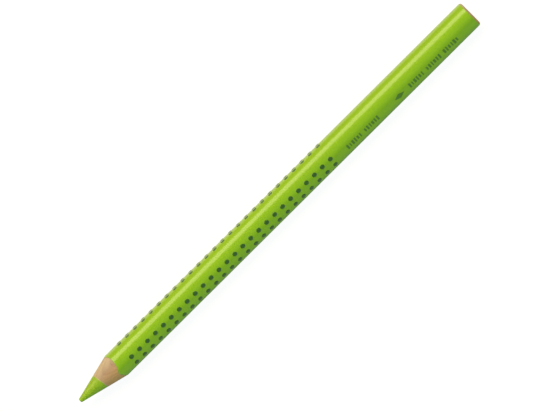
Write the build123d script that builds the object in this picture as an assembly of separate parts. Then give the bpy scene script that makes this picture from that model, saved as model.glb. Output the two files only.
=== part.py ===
from build123d import *

import math
import os

# Jumbo dry-highlighter pencil: a thick pigment core in a soft-triangular wooden barrel.
#
# Sizes are in millimetres. The writing tip is at the origin and +X runs along the barrel's axis to
# the back end. One corner of the barrel points up (+Z), so the face opposite it lies down.
# Each layer is a plain length of its own section, cut by one shared blank: the outside of the
# sharpened pencil with its rounded back end.

# Overall
LENGTH = 175.0  # writing tip to back end
END_ROUND = 0.9  # rounding around the sawn back end, through the lacquer into the wood

# Barrel section: a small triangle grown by a large radius, which leaves a narrow flat on each face
CORNER_CENTRE = 0.7  # barrel axis to the centre of a corner arc
CORNER_RADIUS = 4.15  # corner arc, lacquer included
FACES = 3

# Layers, counted inwards from the outer surface
COLOUR_COAT = 0.06
PRIMER_COAT = 0.04

# Core and adhesive
CORE_DIAMETER = 5.8
CORE_GLUE = 0.06  # bond between core and groove, on the radius
SLAT_GLUE = 0.06  # bond between the two slats
CORE_OFFSET = 0.12  # the core sits this far off the barrel axis, towards -Y

# Sharpened cone
CONE_HALF_ANGLE = 14.0  # degrees
TIP_RADIUS = 0.66  # radius of the worn flat at the point
TIP_ROUND = 0.35  # rounding where that flat meets the cone
CONE_REACH = 7.0  # radius at which the cone profile stops, clear of the barrel

# Grip dots: two rows on each face
DOT_DIAMETER = 1.7
DOT_HEIGHT = 0.14  # crown above the lacquer
DOT_WALL = 0.09  # upright edge above the lacquer, at the dot's centre line
DOT_ROOT = 0.3  # length of the dot blank below the surface, before it is trimmed
DOT_PITCH = 3.56
DOT_COUNT = 26
FIRST_DOT = 21.75
DOT_ROW_ANGLE = 12.5  # from the face's normal to the dots' normal, about the corner arc's centre

# Printed marks on the front face: plain bars in two groups, with a plain lozenge between them
MARK_FILM = 0.03
MARK_HEIGHT = 1.9
MARK_BLOCK = 1.0  # depth of the block that cuts a mark from the film
BAR_PITCH = 1.1
BAR_WIDTHS = (0.65, 0.45, 0.8, 0.55)  # used in turn
BAR_HEIGHTS = (1.0, 0.75, 0.9)  # used in turn, as shares of the marks' full height
RUN = 7  # every seventh place stays empty, which parts the bars into runs
SHORT_GROUP_START = 117.5
SHORT_GROUP_PLACES = 13
LOZENGE_CENTRE = 140.5
LOZENGE_LENGTH = 4.2
LONG_GROUP_START = 145.2
LONG_GROUP_PLACES = 20

FACE_DISTANCE = CORNER_CENTRE * math.cos(math.pi / FACES) + CORNER_RADIUS
CORE_RADIUS = CORE_DIAMETER / 2
OVERSIZE = 20.0  # larger than the barrel's width, for cutting blocks


def barrel_prism(depth=0.0):
    """The barrel's full length, with its surface this far below the finished lacquer."""
    corners = [
        (
            CORNER_CENTRE * math.cos(math.radians(90 + i * 360 / FACES)),
            CORNER_CENTRE * math.sin(math.radians(90 + i * 360 / FACES)),
        )
        for i in range(FACES)
    ]
    section = offset(Polygon(*corners), amount=CORNER_RADIUS - depth, kind=Kind.ARC)
    return extrude(Plane.YZ * section, amount=LENGTH)


def core_cylinder(radius):
    """A round bar along the core's own axis, over the barrel's full length."""
    return Pos(LENGTH / 2, -CORE_OFFSET, 0) * Rot(0, 90, 0) * Cylinder(radius, LENGTH)


def sharpener_sweep():
    """What is left of a wide bar after sharpening: a blunted cone that opens past the barrel."""
    cone_start = TIP_RADIUS / math.tan(math.radians(CONE_HALF_ANGLE))
    cone_end = CONE_REACH / math.tan(math.radians(CONE_HALF_ANGLE)) - cone_start
    outline = Polygon(
        (0, 0),
        (LENGTH, 0),
        (LENGTH, CONE_REACH),
        (cone_end, CONE_REACH),
        (0, TIP_RADIUS),
    )
    point = outline.vertices().sort_by_distance((0, TIP_RADIUS, 0))[0]
    return revolve(Plane.XZ * fillet(point, TIP_ROUND), axis=Axis.X)


def finished_blank():
    """The whole pencil as one solid, with its cone and its rounded back end."""
    barrel = barrel_prism()
    end_edges = barrel.faces().sort_by(Axis.X)[-1].edges()
    return fillet(end_edges, END_ROUND) & sharpener_sweep()


def half_space(side):
    """The block above (+1) or below (-1) the bond between the two slats."""
    centre_z = side * (OVERSIZE / 2 + SLAT_GLUE / 2)
    return Pos(LENGTH / 2, 0, centre_z) * Box(2 * LENGTH, 2 * OVERSIZE, OVERSIZE)


def wooden_casing():
    """Both slats and the bond between them, before they are parted."""
    return barrel_prism(COLOUR_COAT + PRIMER_COAT) - core_cylinder(CORE_RADIUS + CORE_GLUE)


def dot_blank():
    """One grip dot that stands on the plane z = 0, with its root below that plane."""
    radius = DOT_DIAMETER / 2
    rise = DOT_HEIGHT - DOT_WALL
    crown_radius = (radius**2 + rise**2) / (2 * rise)
    post = Pos(0, 0, -DOT_ROOT) * Cylinder(
        radius, DOT_ROOT + DOT_HEIGHT, align=(Align.CENTER, Align.CENTER, Align.MIN)
    )
    return post & Pos(0, 0, DOT_HEIGHT - crown_radius) * Sphere(crown_radius)


def grip_dots(face):
    """The two rows of dots on one face. Face 0 is the bottom one, and the others follow it round."""
    corner = math.pi / FACES
    lean = math.radians(DOT_ROW_ANGLE)
    across = CORNER_CENTRE * math.sin(corner) + CORNER_RADIUS * math.sin(lean)
    down = CORNER_CENTRE * math.cos(corner) + CORNER_RADIUS * math.cos(lean)
    place = Pos(FIRST_DOT, across, -down) * Rot(180 + DOT_ROW_ANGLE, 0, 0)
    dot = (place * dot_blank() - barrel_prism()).solid()
    turn = Rot(face * 360 / FACES, 0, 0)
    return Compound(
        [
            Pos(i * DOT_PITCH, 0, 0) * turn * side
            for side in (dot, mirror(dot, about=Plane.XZ))
            for i in range(DOT_COUNT)
        ]
    )


def bar_blocks(start, places):
    """One group of bars along the barrel, each as a block."""
    blocks = []
    for i in range(places):
        if i % RUN != RUN - 1:
            width = BAR_WIDTHS[i % len(BAR_WIDTHS)]
            height = MARK_HEIGHT * BAR_HEIGHTS[i % len(BAR_HEIGHTS)]
            blocks.append(Pos(start + i * BAR_PITCH, 0, 0) * Box(width, height, MARK_BLOCK))
    return blocks


def mark_blocks():
    """The marks' outlines as blocks that stand across the bottom face's surface."""
    blocks = bar_blocks(SHORT_GROUP_START, SHORT_GROUP_PLACES)
    blocks += bar_blocks(LONG_GROUP_START, LONG_GROUP_PLACES)
    half_length = LOZENGE_LENGTH / 2
    half_height = MARK_HEIGHT / 2
    lozenge = Polygon((-half_length, 0), (0, -half_height), (half_length, 0), (0, half_height))
    blocks.append(Pos(LOZENGE_CENTRE, 0, 0) * extrude(lozenge, amount=MARK_BLOCK / 2, both=True))
    return [Pos(0, 0, -FACE_DISTANCE) * block for block in blocks]


def printed_marks():
    """A thin film of ink that follows the front face, one solid per mark."""
    film = barrel_prism(-MARK_FILM) - barrel_prism()
    turn = Rot(-360 / FACES, 0, 0)
    return Compound([turn * (block & film).solid() for block in mark_blocks()])


def build_parts():
    """Every separate piece of the pencil, by name."""
    blank = finished_blank()
    casing = wooden_casing()
    groove = core_cylinder(CORE_RADIUS + CORE_GLUE)
    bonds = casing - half_space(1) - half_space(-1)
    primer = barrel_prism(COLOUR_COAT) - barrel_prism(COLOUR_COAT + PRIMER_COAT)
    colour = barrel_prism() - barrel_prism(COLOUR_COAT)
    parts = {
        "pigment_core": core_cylinder(CORE_RADIUS) & blank,
        "core_adhesive": (groove - core_cylinder(CORE_RADIUS)) & blank,
        "upper_slat": casing & half_space(1) & blank,
        "lower_slat": casing & half_space(-1) & blank,
        "slat_adhesive": bonds & blank,
        "primer_coat": primer & blank,
        "colour_coat": colour & blank,
        "printed_marks": printed_marks(),
    }
    for face, name in enumerate(("bottom", "back", "front")):
        parts["grip_dots_" + name] = grip_dots(face)
    return parts


def main():
    os.makedirs("parts", exist_ok=True)
    for name, part in build_parts().items():
        export_step(part, os.path.join("parts", name + ".step"))


main()
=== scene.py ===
import math
import random

import bmesh
import bpy
import numpy as np
from mathutils import Matrix, Vector, noise


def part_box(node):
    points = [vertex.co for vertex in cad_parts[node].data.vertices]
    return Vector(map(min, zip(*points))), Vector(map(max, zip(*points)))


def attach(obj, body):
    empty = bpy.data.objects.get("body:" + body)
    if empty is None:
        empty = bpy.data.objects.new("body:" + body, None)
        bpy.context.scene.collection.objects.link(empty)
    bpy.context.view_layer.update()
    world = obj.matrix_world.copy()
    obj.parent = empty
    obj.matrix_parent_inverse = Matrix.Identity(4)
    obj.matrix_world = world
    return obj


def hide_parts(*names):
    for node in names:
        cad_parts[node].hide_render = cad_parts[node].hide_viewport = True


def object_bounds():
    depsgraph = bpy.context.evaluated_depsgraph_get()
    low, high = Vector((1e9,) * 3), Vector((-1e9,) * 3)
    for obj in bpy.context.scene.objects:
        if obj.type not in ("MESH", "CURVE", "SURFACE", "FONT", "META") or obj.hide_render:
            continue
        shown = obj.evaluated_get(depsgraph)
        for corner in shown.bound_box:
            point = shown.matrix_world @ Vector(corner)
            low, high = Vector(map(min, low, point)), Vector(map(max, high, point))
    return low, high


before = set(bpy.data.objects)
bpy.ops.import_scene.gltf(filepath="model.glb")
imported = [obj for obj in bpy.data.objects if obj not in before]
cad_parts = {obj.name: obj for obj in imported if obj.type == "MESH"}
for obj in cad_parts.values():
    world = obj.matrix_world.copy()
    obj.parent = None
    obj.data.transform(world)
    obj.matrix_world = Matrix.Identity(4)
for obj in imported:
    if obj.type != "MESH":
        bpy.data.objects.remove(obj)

# The CAD model's box, which sets the floor's height.
CAD_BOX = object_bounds()

MM = 0.001
TURN = 2 * math.pi

# ---------------------------------------------------------------------------
# The pencil's own dimensions, read back from the CAD nodes' boxes.
#
# Every layer is a rounded triangle: three corner arcs round centres that are CORNER_CENTRE from
# the axis. A corner reaches CORNER_CENTRE + arc up, and a face lies CORNER_CENTRE / 2 + arc away.
# ---------------------------------------------------------------------------

coat_low, coat_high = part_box("colour_coat")
primer_low, primer_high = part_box("primer_coat")
core_low, core_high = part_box("pigment_core")

LENGTH = core_high.x
CORNER_CENTRE = 2 * (coat_high.z + coat_low.z)
COAT_ARC = coat_high.z - CORNER_CENTRE
PRIMER_ARC = primer_high.z - CORNER_CENTRE
WOOD_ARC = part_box("upper_slat")[1].z - CORNER_CENTRE
CORE_RADIUS = core_high.z
CORE_Y = (core_low.y + core_high.y) / 2
GLUE_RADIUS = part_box("core_adhesive")[1].z
BOND_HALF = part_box("slat_adhesive")[1].z

# The cone starts to cut the glue where the core is closest to the axis, and the lacquer where the
# primer's face is closest to it.
CONE_SLOPE = (-primer_low.z - core_high.y) / (coat_low.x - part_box("core_adhesive")[0].x)
TIP_RADIUS = -primer_low.z - coat_low.x * CONE_SLOPE
TIP_ROUND = 0.35 * MM  # rounding between the worn tip and the cone

# The back end's edge is a quarter circle. The coat's inside meets it this far from the end.
COAT = COAT_ARC - PRIMER_ARC
COAT_SETBACK = LENGTH - coat_high.x
END_ROUND = COAT + COAT_SETBACK + math.sqrt(2 * COAT * COAT_SETBACK)

# How finely the surfaces are drawn
ROUND = 384  # points round the barrel
ROUND_CORE = 256
ROUND_DOT = 28
CONE_ROWS = 110  # rows over a slat's cut face
CORE_ROWS = 150  # rows over the core's cut face
ROW_SPACING = 0.9 * MM  # between rows along the barrel

# ---------------------------------------------------------------------------
# Outlines: polar radius about the barrel's axis, for angles counted from +Y towards +Z
# ---------------------------------------------------------------------------


def triangle_outline(arc):
    """A layer's outline, with corner arcs of this radius."""
    arc_end = math.atan2(arc * math.sin(TURN / 6), CORNER_CENTRE + arc * math.cos(TURN / 6))

    def reach(angle):
        off = np.abs((angle - TURN / 4 + TURN / 6) % (TURN / 3) - TURN / 6)
        on_arc = CORNER_CENTRE * np.cos(off) + np.sqrt(arc**2 - (CORNER_CENTRE * np.sin(off)) ** 2)
        on_flat = (CORNER_CENTRE / 2 + arc) / np.cos(TURN / 6 - off)
        return np.where(off < arc_end, on_arc, on_flat)

    return reach


def round_outline(radius):
    """A circle round the core's own axis, which is a little off the barrel's axis."""
    return lambda angle: CORE_Y * np.cos(angle) + np.sqrt(
        radius**2 - (CORE_Y * np.sin(angle)) ** 2
    )


def between(inner, outer, share):
    """The outline this share of the way from one outline to another."""
    return lambda angle: (1 - share) * inner(angle) + share * outer(angle)


# ---------------------------------------------------------------------------
# The surface that the sharpener cut
# ---------------------------------------------------------------------------


def noise_at(points, scale):
    """Smooth noise in -1..1 at each point, with one scale per axis, in waves per millimetre."""
    scaled = points.reshape(-1, 3) / MM * np.array(scale)
    values = [noise.noise(Vector(p)) for p in scaled]
    return np.array(values).reshape(points.shape[:-1])


def on_cone(reach, angle, chips=0.0):
    """The x of the cut surface at this polar radius and angle, with the blade's small errors."""
    x = (reach - TIP_RADIUS) / CONE_SLOPE
    points = np.stack([x, reach * np.cos(angle), reach * np.sin(angle)], axis=-1)
    sway = 0.06 * noise_at(points, (0.12, 0.22, 0.22))
    facet = 0.035 * noise_at(points, (0.1, 0.75, 0.75))
    fibre = 0.02 * noise_at(points, (0.35, 5.0, 5.0))
    chatter = 0.012 * np.sin(TURN * x / (0.6 * MM) + 2 * angle)
    edge = chips * np.clip(noise_at(points, (1.1, 1.9, 1.9)) - 0.12, 0, None)
    return x + (sway + facet + fibre + chatter + edge) * MM


def end_edge(outer_arc, inner_arc, steps):
    """The x and outline of rows that follow the rounded edge of the back end inwards."""
    for arc in np.linspace(outer_arc, inner_arc, steps):
        rise = END_ROUND - (COAT_ARC - arc)
        x = LENGTH - END_ROUND + math.sqrt(END_ROUND**2 - rise**2)
        yield x, triangle_outline(arc)


# ---------------------------------------------------------------------------
# Meshes
# ---------------------------------------------------------------------------


def to_points(x, reach, angle):
    """Row-frame points from axial and polar coordinates."""
    x, reach, angle = np.broadcast_arrays(x, reach, angle)
    return np.stack([x, reach * np.cos(angle), reach * np.sin(angle)], axis=-1)


def grid_faces(index):
    """The four-sided faces between neighbours in a grid of point numbers."""
    corners = [index[:-1, :-1], index[1:, :-1], index[1:, 1:], index[:-1, 1:]]
    return np.stack([c.ravel() for c in corners], axis=-1).tolist()


def skin(name, rows, closed_round=True, poles=False):
    """A closed mesh over rows of points. Each row runs round the pencil.

    The first and last rows are joined to each other, or end in one point each if poles is set.
    A sector that doesn't close round the pencil gets a flat face at each of its two sides.
    """
    rows = np.asarray(rows)
    count, around = rows.shape[:2]
    verts = rows.reshape(-1, 3).tolist()
    index = np.arange(count * around).reshape(count, around)
    if closed_round:
        index = np.hstack([index, index[:, :1]])
    if not poles:
        index = np.vstack([index, index[:1]])
    faces = grid_faces(index)
    if not closed_round:
        faces.append(index[:-1, 0].tolist())
        faces.append(index[:-1, -1].tolist())
    if poles:
        for row in (index[0], index[-1]):
            verts.append(np.mean([verts[i] for i in row[:-1]], axis=0).tolist())
            faces += [[len(verts) - 1, row[i], row[i + 1]] for i in range(around)]
    return finished(name, verts, faces)


def finished(name, verts, faces, smooth_angle=30):
    """An object from a closed mesh, with outward normals and smooth shading off its sharp edges."""
    mesh = bpy.data.meshes.new(name)
    mesh.from_pydata(verts, [], faces)
    work = bmesh.new()
    work.from_mesh(mesh)
    bmesh.ops.recalc_face_normals(work, faces=work.faces)
    work.to_mesh(mesh)
    work.free()
    mesh.shade_smooth()
    mesh.set_sharp_from_angle(angle=math.radians(smooth_angle))
    piece = bpy.data.objects.new(name, mesh)
    bpy.context.scene.collection.objects.link(piece)
    return piece


def install(piece, material, node):
    """Puts a finished piece on the pencil in place of a CAD node."""
    piece.data.materials.append(material)
    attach(piece, "root")
    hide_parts(node)


def paint(node, material):
    """Gives a CAD node that keeps its own shape its material."""
    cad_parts[node].material_slots[0].material = material


def angles_for(side, around, reach):
    """Angles for one row: right round the pencil (side 0), or over one slat (side 1 or -1).

    A slat stops short of the plane z = 0 by half the bond's thickness at every radius.
    """
    if side == 0:
        return np.arange(around) * TURN / around
    rim = np.array([reach(np.array(0.0)), reach(np.array(TURN / 2))])
    start, end = np.arcsin(BOND_HALF / rim)
    share = np.linspace(0, 1, around)
    return side * (start + share * (TURN / 2 - start - end))


def layer_rows(inner, end, side, around, cut_rows, chips=0.0, wave=0.0):
    """Rows over a layer: its cut face, its outside and its back end, down to its hidden inside.

    end lists the x and outline of each row over the back end, from the outside inwards. chips and
    wave say how far the cut edge is broken, in millimetres, and the outside ripples, in metres.
    """
    outer = end[0][1]
    rows = []
    for share in np.linspace(0, 1, cut_rows):
        outline = between(inner, outer, share)
        angle = angles_for(side, around, outline)
        reach = outline(angle)
        rows.append(to_points(on_cone(reach, angle, chips), reach, angle))
    angle = angles_for(side, around, outer)
    edge = rows[-1][:, 0]
    steps = int((LENGTH - edge.min()) / ROW_SPACING)
    for share in np.linspace(0, 1, steps)[1:]:
        x = edge + share * (end[0][0] - edge)
        reach = outer(angle)
        if wave:
            reach = reach + wave * noise_at(to_points(x, reach, angle), (0.09, 0.3, 0.3))
        rows.append(to_points(x, reach, angle))
    for x, outline in end[1:]:
        angle = angles_for(side, around, outline)
        rows.append(to_points(x, outline(angle), angle))
    return rows


def build_lacquer(name, inner_arc, outer_arc, cut_rows, chips, wave):
    """One of the two coats, as a thin shell that the rounded end edge runs through."""
    end = list(end_edge(outer_arc, inner_arc, 6))
    return skin(name, layer_rows(end[-1][1], end, 0, ROUND, cut_rows, chips, wave))


def build_slat(name, side):
    """One half of the wooden casing, from the core's glue to the primer."""
    inner = round_outline(GLUE_RADIUS)
    end = list(end_edge(WOOD_ARC, COAT_ARC - END_ROUND, 8)) + [(LENGTH, inner)]
    rows = layer_rows(inner, end, side, ROUND // 2, CONE_ROWS)
    return skin(name, rows, closed_round=False)


def build_core_glue():
    """The thin tube of glue round the core."""
    inner = round_outline(CORE_RADIUS)
    end = [(LENGTH, round_outline(GLUE_RADIUS)), (LENGTH, inner)]
    return skin("core_glue_line", layer_rows(inner, end, 0, ROUND, cut_rows=3))


def tip_rows(angle):
    """Rows over the core's worn flat tip and round its edge, as far as the cone."""
    half_angle = math.atan(CONE_SLOPE)
    flat = TIP_RADIUS - TIP_ROUND * (1 - math.sin(half_angle)) / math.cos(half_angle)
    rows = []
    for share in np.linspace(0.12, 1, 7):
        rows.append(to_points(0.0, share * flat, angle))
    for bend in np.linspace(0, TURN / 4 - half_angle, 10)[1:]:
        x = TIP_ROUND * (1 - math.cos(bend))
        rows.append(to_points(x, flat + TIP_ROUND * math.sin(bend), angle))
    return rows


def build_core():
    """The pigment core, from its worn tip to the back end."""
    angle = np.arange(ROUND_CORE) * TURN / ROUND_CORE
    rows = tip_rows(angle)
    outline = round_outline(CORE_RADIUS)(angle)
    start = rows[-1][0, 0] * CONE_SLOPE + TIP_RADIUS
    for share in np.linspace(0, 1, CORE_ROWS)[1:]:
        reach = start + share * (outline - start)
        true_x = (reach - TIP_RADIUS) / CONE_SLOPE
        roughened = min(1.0, share * 6)
        x = true_x + roughened * (on_cone(reach, angle) - true_x)
        rows.append(to_points(x, reach, angle))
    rows.append(to_points(LENGTH, outline, angle))
    for share in (0.97, 0.8, 0.5, 0.2):
        rows.append(to_points(LENGTH, share * outline, angle))
    return skin("pigment_rod", rows, poles=True)


# ---------------------------------------------------------------------------
# Grip dots
# ---------------------------------------------------------------------------


def solids_of(node):
    """The separate solids of a CAD node, each as an array of points, in a fixed order."""
    work = bmesh.new()
    work.from_mesh(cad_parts[node].data)
    bmesh.ops.remove_doubles(work, verts=work.verts, dist=0.0001 * MM)
    waiting = set(work.verts)
    found = []
    while waiting:
        stack = [waiting.pop()]
        group = []
        while stack:
            vert = stack.pop()
            group.append(tuple(vert.co))
            near = {edge.other_vert(vert) for edge in vert.link_edges} & waiting
            waiting -= near
            stack.extend(near)
        found.append(np.array(group))
    work.free()
    return sorted(found, key=lambda points: tuple(np.round(points.mean(axis=0) / MM, 2)))


def corner_near(y, z):
    """The centre of the corner arc that the surface belongs to at this point."""
    corners = [TURN / 4 + i * TURN / 3 for i in range(3)]
    centres = [CORNER_CENTRE * np.array([math.cos(a), math.sin(a)]) for a in corners]
    return min(centres, key=lambda centre: math.hypot(y - centre[0], z - centre[1]))


def drop_profile(radius, height, rings=9):
    """Radius and height of each ring of a varnish drop, from its sunk base to near its crown."""
    yield radius, -0.05 * MM
    for i in range(rings):
        share = math.cos(TURN / 4 * i / (rings - 0.5))
        yield radius * share, height * (1 - share**2.6) ** 0.62


def drop_rings(points, rng):
    """Rings of points for one drop over a CAD dot, wrapped on the corner arc under it."""
    x = (points[:, 0].min() + points[:, 0].max()) / 2
    mean_y, mean_z = points[:, 1:].mean(axis=0)
    centre_y, centre_z = corner_near(mean_y, mean_z)
    lean = math.atan2(mean_z - centre_z, mean_y - centre_y)
    crown = np.hypot(points[:, 1] - centre_y, points[:, 2] - centre_z).max() - COAT_ARC
    radius = np.ptp(points[:, 0]) / 2 * rng.uniform(0.955, 1.0)
    crown *= rng.uniform(0.86, 1.0)
    squash = rng.uniform(-0.025, 0.025)
    phase = rng.uniform(0, TURN)
    turn = np.arange(ROUND_DOT) * TURN / ROUND_DOT
    for ring_radius, height in drop_profile(radius, crown):
        reach = ring_radius * (1 + squash * np.cos(2 * (turn - phase)))
        bend = lean + reach * np.sin(turn) / COAT_ARC
        y = centre_y + (COAT_ARC + height) * np.cos(bend)
        z = centre_z + (COAT_ARC + height) * np.sin(bend)
        yield np.stack([x + reach * np.cos(turn), y, z], axis=-1)


def build_dots(name, node, seed):
    """One raised drop of varnish over each CAD dot of a face."""
    rng = random.Random(seed)
    verts = []
    faces = []
    for points in solids_of(node):
        rings = np.array(list(drop_rings(points, rng)))
        index = len(verts) + np.arange(rings[..., 0].size).reshape(rings.shape[:2])
        verts += rings.reshape(-1, 3).tolist()
        faces += grid_faces(np.hstack([index, index[:, :1]]))
        faces += [index[0].tolist(), index[-1].tolist()]
    return finished(name, verts, faces, smooth_angle=60)


# ---------------------------------------------------------------------------
# Materials
# ---------------------------------------------------------------------------


class Shader:
    """A material with a Principled surface, and short ways to add nodes to it."""

    def __init__(self, name):
        self.material = bpy.data.materials.new(name)
        self.material.use_nodes = True
        self.tree = self.material.node_tree
        self.surface = self.tree.nodes["Principled BSDF"]
        coords = self.tree.nodes.new("ShaderNodeTexCoord")
        self.place = coords.outputs["Object"]

    def node(self, kind, inputs=(), **settings):
        """Adds a node. inputs pairs an input's name or number with a value or a socket."""
        made = self.tree.nodes.new("ShaderNode" + kind)
        for key, value in settings.items():
            setattr(made, key, value)
        for key, value in dict(inputs).items():
            self.feed(made.inputs[key], value)
        return made

    def feed(self, socket, value):
        if isinstance(value, bpy.types.NodeSocket):
            self.tree.links.new(value, socket)
        else:
            socket.default_value = value

    def set(self, **inputs):
        """Feeds the surface's inputs; an underscore stands for a space."""
        for key, value in inputs.items():
            self.feed(self.surface.inputs[key.replace("_", " ")], value)

    def per_mm(self, scale):
        """Coordinates scaled to waves per millimetre on each axis."""
        factors = tuple(s / MM for s in scale)
        return self.node("Mapping", {"Vector": self.place, "Scale": factors}).outputs[0]

    def cloud(self, scale, detail=2.0, roughness=0.5):
        """Noise in 0..1."""
        inputs = {"Vector": self.per_mm(scale), "Scale": 1.0, "Detail": detail}
        inputs["Roughness"] = roughness
        return self.node("TexNoise", inputs).outputs["Fac"]

    def wave(self, scale, distortion):
        """Wavy bands in 0..1."""
        inputs = {"Vector": self.per_mm(scale), "Scale": 1.0, "Distortion": distortion}
        return self.node("TexWave", inputs).outputs["Fac"]

    def math(self, operation, a, b=0.0):
        return self.node("Math", {0: a, 1: b}, operation=operation).outputs[0]

    def remap(self, value, low, high, to_low=0.0, to_high=1.0):
        """Stretches low..high to to_low..to_high, and holds it there outside."""
        inputs = {
            "Value": value,
            "From Min": low,
            "From Max": high,
            "To Min": to_low,
            "To Max": to_high,
        }
        return self.node("MapRange", inputs).outputs[0]

    def mix(self, share, a, b, blend="MIX"):
        """A colour between a and b, or between a and a times b with the MULTIPLY blend."""
        made = self.node("Mix", {0: share}, data_type="RGBA", blend_type=blend)
        self.feed(made.inputs[6], a)
        self.feed(made.inputs[7], b)
        return made.outputs[2]

    def axis(self, name):
        """One coordinate of the point, in metres."""
        return self.node("SeparateXYZ", {0: self.place}).outputs[name]

    def bump(self, height, strength, depth, normal=None):
        """A bumped normal. depth is the height's range in millimetres."""
        inputs = {"Height": height, "Strength": strength, "Distance": depth * MM}
        if normal is not None:
            inputs["Normal"] = normal
        return self.node("Bump", inputs).outputs[0]


def rgba(red, green, blue):
    return (red, green, blue, 1.0)


def lacquer_material():
    """Glossy light green lacquer, with faint orange peel, hairlines and chalky cut edges."""
    s = Shader("lacquer")
    tone = s.cloud((0.05, 0.3, 0.3), detail=3)
    colour = s.mix(tone, rgba(0.226, 0.400, 0.003), rgba(0.244, 0.425, 0.004))
    speck = s.remap(s.cloud((1.4, 5.0, 5.0), detail=1), 0.72, 0.8)
    colour = s.mix(s.math("MULTIPLY", speck, 0.12), colour, rgba(0.38, 0.50, 0.08))
    near_cut = s.remap(s.axis("X"), 17.5 * MM, 15.0 * MM)
    near_end = s.remap(s.axis("X"), LENGTH - 0.9 * MM, LENGTH - 0.2 * MM)
    rub = s.remap(s.cloud((1.2, 2.5, 2.5), detail=4), 0.52, 0.62)
    wear = s.math("MULTIPLY", s.math("MAXIMUM", near_cut, near_end), rub)
    colour = s.mix(s.math("MULTIPLY", wear, 0.3), colour, rgba(0.36, 0.49, 0.06))
    peel = s.cloud((0.8, 1.3, 1.3), detail=2)
    hairline = s.cloud((0.25, 14.0, 14.0), detail=3, roughness=0.6)
    handled = s.cloud((0.08, 0.4, 0.4), detail=4)
    normal = s.bump(hairline, 0.05, 0.01, s.bump(peel, 0.12, 0.03))
    s.set(Base_Color=colour, Normal=s.bump(hairline, 0.08, 0.01), Coat_Normal=normal)
    s.set(Roughness=s.remap(handled, 0.3, 0.7, 0.3, 0.38), Specular_IOR_Level=0.3)
    s.set(Coat_Weight=0.6, Coat_IOR=1.5, Coat_Roughness=s.remap(handled, 0.3, 0.7, 0.04, 0.1))
    return s.material


def primer_material():
    """Chalky off-white undercoat, tinted by the lacquer that soaked into it."""
    s = Shader("primer")
    stain = s.cloud((1.0, 2.2, 2.2), detail=4)
    colour = s.mix(stain, rgba(0.22, 0.25, 0.07), rgba(0.33, 0.29, 0.13))
    s.set(Base_Color=colour, Roughness=s.remap(stain, 0.3, 0.7, 0.55, 0.7))
    s.set(Normal=s.bump(s.cloud((4, 9, 9), detail=3), 0.3, 0.02))
    return s.material


def growth_rings(s, pith_y, pith_z):
    """The share of dark late wood, in rings round a pith far off the pencil's axis."""
    y = s.math("SUBTRACT", s.axis("Y"), pith_y * MM)
    z = s.math("SUBTRACT", s.axis("Z"), pith_z * MM)
    square = s.math("ADD", s.math("MULTIPLY", y, y), s.math("MULTIPLY", z, z))
    radius = s.math("ADD", s.math("SQRT", square), s.math("MULTIPLY", s.axis("X"), 0.035))
    bow = s.math("MULTIPLY", s.cloud((0.02, 0.16, 0.16), detail=2), 1.6)
    ring = s.math("ADD", s.math("DIVIDE", radius, 0.85 * MM), bow)
    year = s.math("FRACT", ring)
    return s.math("MULTIPLY", s.remap(year, 0.45, 0.95), s.remap(year, 1.0, 0.95))


def painted_sheen_and_shade(s, colour):
    """Painted light on the wood: paler towards the back of the pencil, the key light's side, as a
    painted sheen, and redder towards the front, the shaded side, as painted shade.
    """
    # Painted sheen: the wood paler towards the key light's side.
    painted_sheen = s.remap(s.axis("Y"), -0.5 * MM, 2.2 * MM)
    # Painted shade: the wood redder towards the shaded side.
    painted_shade_hue = s.remap(s.axis("Y"), -0.5 * MM, -3.5 * MM)
    colour = s.mix(painted_sheen, colour, rgba(1.30, 1.59, 1.66), "MULTIPLY")
    return s.mix(painted_shade_hue, colour, rgba(1.44, 1.17, 0.65), "MULTIPLY")


def dust_on(s, colour):
    """Pigment that the sharpener smeared over the wood next to the core."""
    near_core = s.math("MULTIPLY", s.remap(s.axis("X"), 11.5 * MM, 7.6 * MM), 0.5)
    dust = s.remap(s.cloud((1.3, 3.2, 3.2), detail=5, roughness=0.7), 0.5, 0.72)
    return s.mix(s.math("MULTIPLY", dust, near_core), colour, rgba(0.30, 0.42, 0.05))


def wood_material(name, pith_y, pith_z, light, dark):
    """Sharpened wood: growth rings, fibres, pores, pigment dust and blade marks, with a painted
    sheen and painted shade across the slat.
    """
    s = Shader(name)
    late = s.math("MULTIPLY", growth_rings(s, pith_y, pith_z), 0.2)
    fibre = s.cloud((0.22, 9.0, 9.0), detail=5, roughness=0.62)
    streak = s.math("MULTIPLY", s.cloud((0.07, 2.2, 2.2), detail=3), 0.35)
    share = s.math("ADD", s.math("ADD", late, s.math("MULTIPLY", fibre, 0.5)), streak)
    # Painted sheen and shade across the slat, over the grain.
    colour = painted_sheen_and_shade(s, s.mix(s.remap(share, 0.25, 1.0), light, dark))
    pore = s.remap(s.cloud((0.9, 16.0, 16.0), detail=1), 0.7, 0.76)
    colour = s.mix(s.math("MULTIPLY", pore, 0.35), colour, rgba(0.16, 0.085, 0.045))
    s.set(Base_Color=dust_on(s, colour))
    blade = s.wave((3.2, 0.25, 0.25), distortion=1.2)
    s.set(Normal=s.bump(blade, 0.1, 0.02, s.bump(fibre, 0.45, 0.03)))
    s.set(Roughness=s.remap(fibre, 0.3, 0.7, 0.5, 0.68), Specular_IOR_Level=0.35)
    return s.material


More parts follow.
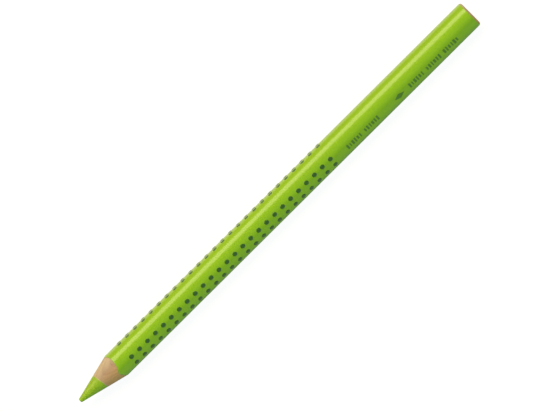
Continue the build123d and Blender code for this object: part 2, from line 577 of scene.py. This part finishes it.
def core_material():
    """Waxy pigment: turned smooth by the blade, slightly mottled, with fine filler specks."""
    s = Shader("pigment")
    mottle = s.cloud((0.9, 1.6, 1.6), detail=5, roughness=0.6)
    colour = s.mix(s.remap(mottle, 0.35, 0.65), rgba(0.215, 0.35, 0.005), rgba(0.29, 0.43, 0.012))
    speck = s.remap(s.cloud((13, 13, 13), detail=1), 0.68, 0.76)
    colour = s.mix(s.math("MULTIPLY", speck, 0.4), colour, rgba(0.46, 0.56, 0.12))
    turned = s.wave((2.6, 0.2, 0.2), distortion=2.0)
    grain = s.cloud((7, 12, 12), detail=4, roughness=0.65)
    normal = s.bump(turned, 0.12, 0.03, s.bump(grain, 0.4, 0.03))
    s.set(Base_Color=colour, Normal=normal, Roughness=s.remap(grain, 0.3, 0.7, 0.36, 0.55))
    s.set(Subsurface_Weight=0.12, Subsurface_Radius=(0.6, 0.8, 0.1), Subsurface_Scale=0.4 * MM)
    return s.material


def glue_material(name):
    """Cured glue: a yellowed, slightly glossy line."""
    s = Shader(name)
    cloud = s.cloud((2, 5, 5), detail=3)
    s.set(Base_Color=s.mix(cloud, rgba(0.36, 0.27, 0.12), rgba(0.52, 0.42, 0.22)))
    s.set(Roughness=s.remap(cloud, 0.3, 0.7, 0.3, 0.5), Normal=s.bump(cloud, 0.3, 0.02))
    return s.material


def dot_material():
    """Dark green grip varnish, satin, a little uneven from dot to dot."""
    s = Shader("dots")
    tone = s.cloud((0.35, 0.8, 0.8), detail=2)
    fine = s.cloud((6, 6, 6), detail=4)
    s.set(Base_Color=s.mix(tone, rgba(0.019, 0.078, 0.002), rgba(0.034, 0.113, 0.003)))
    s.set(Roughness=s.remap(fine, 0.3, 0.7, 0.36, 0.5), Normal=s.bump(fine, 0.15, 0.02))
    s.set(Specular_IOR_Level=0.5, Coat_Weight=0.9, Coat_Roughness=0.15)
    return s.material


def ink_material():
    """Stamped film: dark green, with pinholes and thin places."""
    s = Shader("ink")
    worn = s.remap(s.cloud((5, 6, 6), detail=4, roughness=0.7), 0.45, 0.72)
    colour = s.mix(worn, rgba(0.070, 0.165, 0.014), rgba(0.125, 0.26, 0.018))
    s.set(Base_Color=colour, Roughness=s.remap(worn, 0, 1, 0.35, 0.55))
    s.set(Normal=s.bump(worn, 0.2, 0.01))
    return s.material


# ---------------------------------------------------------------------------
# Floor, light and camera
# ---------------------------------------------------------------------------

# Directions square to the pencil: towards the camera, and towards the picture's lower right.
CAMERA_LEAN = math.radians(21.3)
TO_CAMERA = Vector((0, -math.sin(CAMERA_LEAN), math.cos(CAMERA_LEAN)))
TO_RIGHT = Vector((0, -math.cos(CAMERA_LEAN), -math.sin(CAMERA_LEAN)))
MIDDLE = Vector((LENGTH / 2, 0, 0))
SOFTBOX_LENGTH = 1.4
FLOOR_HALF = 6.0
FLOOR_GAP = 0.01 * MM  # between the floor and the lowest dots
CAMERA_DISTANCE = 3.0
PICTURE_WIDTH = 0.999 * LENGTH  # what the camera sees across, at the pencil


def around_pencil(degrees):
    """The direction this far round the pencil from the camera, positive to the lower right."""
    angle = math.radians(degrees)
    return TO_CAMERA * math.cos(angle) + TO_RIGHT * math.sin(angle)


def floor_material():
    """Pale floor that the camera sees nearly white.

    It lights the pencil as a greyer sheet would. For glossy rays it glows in a warm tint on its
    side behind the pencil, towards the key light: a painted reflection of lit floor, which the
    lacquer mirrors.
    """
    s = Shader("floor")
    fine = s.cloud((0.2, 0.2, 0.2), detail=3)
    rays = s.node("LightPath").outputs
    seen = rays["Is Camera Ray"]
    paper = s.mix(fine, rgba(0.33, 0.38, 0.38), rgba(0.35, 0.40, 0.40))
    s.set(Base_Color=s.mix(seen, paper, rgba(0.1, 0.1, 0.1)), Roughness=0.9)
    # Painted reflection: the floor glows for glossy rays only, rising towards the key light's side.
    painted_lit_side = s.remap(s.axis("Y"), 0.0, 20 * MM, 0.0, 0.65)
    painted_reflection = s.math("MULTIPLY", rays["Is Glossy Ray"], painted_lit_side)
    glow = s.math("ADD", s.math("MULTIPLY", seen, 0.92), painted_reflection)
    # Warm tint of the painted reflection for rays other than the camera's; the camera sees white.
    glow_colour = s.mix(seen, rgba(1.0, 1.0, 0.42), rgba(1.0, 1.0, 1.0))
    s.set(Specular_IOR_Level=0.1, Emission_Color=glow_colour, Emission_Strength=glow)
    return s.material


def build_floor():
    """A wide sheet under the pencil's lowest dots."""
    height = CAD_BOX[0].z - FLOOR_GAP
    signs = ((-1, -1), (1, -1), (1, 1), (-1, 1))
    verts = [(i * FLOOR_HALF, j * FLOOR_HALF, height) for i, j in signs]
    mesh = bpy.data.meshes.new("floor")
    mesh.from_pydata(verts, [], [(0, 1, 2, 3)])
    mesh.materials.append(floor_material())
    floor = bpy.data.objects.new("floor", mesh)
    bpy.context.scene.collection.objects.link(floor)


def add_softbox(name, degrees, distance, width, power, colour, painted_reflection=True):
    """A long light that faces the pencil. The lacquer mirrors it unless mirrored is off."""
    data = bpy.data.lights.new(name, "AREA")
    data.shape = "RECTANGLE"
    data.size = SOFTBOX_LENGTH
    data.size_y = width
    data.energy = power
    data.color = colour
    light = bpy.data.objects.new(name, data)
    direction = around_pencil(degrees)
    light.location = MIDDLE + direction * distance
    sideways = direction.cross(Vector((1, 0, 0)))
    light.rotation_euler = Matrix((Vector((1, 0, 0)), sideways, direction)).transposed().to_euler()
    light.visible_camera = False
    light.visible_glossy = painted_reflection
    bpy.context.scene.collection.objects.link(light)


def set_world():
    """Even, pale surroundings."""
    world = bpy.data.worlds.new("studio")
    world.use_nodes = True
    background = world.node_tree.nodes["Background"]
    background.inputs["Color"].default_value = rgba(0.84, 1.0, 1.0)
    background.inputs["Strength"].default_value = 0.22
    bpy.context.scene.world = world


def add_camera():
    """A long lens nearly overhead, with the pencil's back end to the picture's upper right."""
    towards_end = math.radians(1.5)
    roll = math.radians(44.84)
    back = (TO_CAMERA + Vector((math.tan(towards_end), 0, 0))).normalized()
    level = Vector((1, 0, 0)) - back * back.x
    level.normalize()
    across = back.cross(level)
    right = level * math.cos(roll) - across * math.sin(roll)
    up = level * math.sin(roll) + across * math.cos(roll)
    data = bpy.data.cameras.new("camera")
    data.sensor_width = 36
    data.lens = data.sensor_width * CAMERA_DISTANCE / PICTURE_WIDTH
    data.clip_start = 0.1
    data.clip_end = 50
    camera = bpy.data.objects.new("camera", data)
    aim = MIDDLE + Vector((0.2 * MM, 0, 0)) - TO_RIGHT * 0.26 * MM
    turned = Matrix((right, up, back)).transposed().to_4x4()
    camera.matrix_world = Matrix.Translation(aim + back * CAMERA_DISTANCE) @ turned
    bpy.context.scene.collection.objects.link(camera)
    bpy.context.scene.camera = camera


# ---------------------------------------------------------------------------
# Assembly
# ---------------------------------------------------------------------------


def build_coats():
    """The lacquer and the primer under it."""
    lacquer = build_lacquer(
        "lacquer_barrel", PRIMER_ARC, COAT_ARC, cut_rows=7, chips=0.25, wave=0.004 * MM
    )
    install(lacquer, lacquer_material(), "colour_coat")
    primer = build_lacquer("primer_ring", WOOD_ARC, PRIMER_ARC, cut_rows=5, chips=0.1, wave=0.0)
    install(primer, primer_material(), "primer_coat")


def build_casing():
    """The two wooden halves and the bond between them."""
    upper = wood_material(
        "wood_upper", -2.0, 26.0, light=rgba(0.43, 0.278, 0.19), dark=rgba(0.26, 0.142, 0.086)
    )
    lower = wood_material(
        "wood_lower", 14.0, -15.0, light=rgba(0.38, 0.24, 0.16), dark=rgba(0.23, 0.13, 0.08)
    )
    install(build_slat("slat_upper_half", 1), upper, "upper_slat")
    install(build_slat("slat_lower_half", -1), lower, "lower_slat")
    paint("slat_adhesive", glue_material("bond"))


def build_pencil():
    """Every piece, from the outside in, then what is printed on the outside."""
    build_coats()
    build_casing()
    install(build_core_glue(), glue_material("core_glue"), "core_adhesive")
    install(build_core(), core_material(), "pigment_core")
    dots = dot_material()
    for seed, face in enumerate(("bottom", "back", "front")):
        node = "grip_dots_" + face
        install(build_dots("varnish_dots_" + face, node, seed), dots, node)
    paint("printed_marks", ink_material())


def light_studio():
    """A warm key from the upper left, a cool fill from the lower right, and pale surroundings."""
    add_softbox("key", -48.3, distance=0.7, width=0.45, power=9.3, colour=(1.0, 0.82, 0.5))
    add_softbox(
        "fill", 25, distance=0.9, width=0.5, power=5.0, colour=(0.62, 1.0, 1.0), painted_reflection=False
    )
    set_world()


build_pencil()
build_floor()
light_studio()
add_camera()
bpy.context.scene.view_settings.view_transform = "Standard"
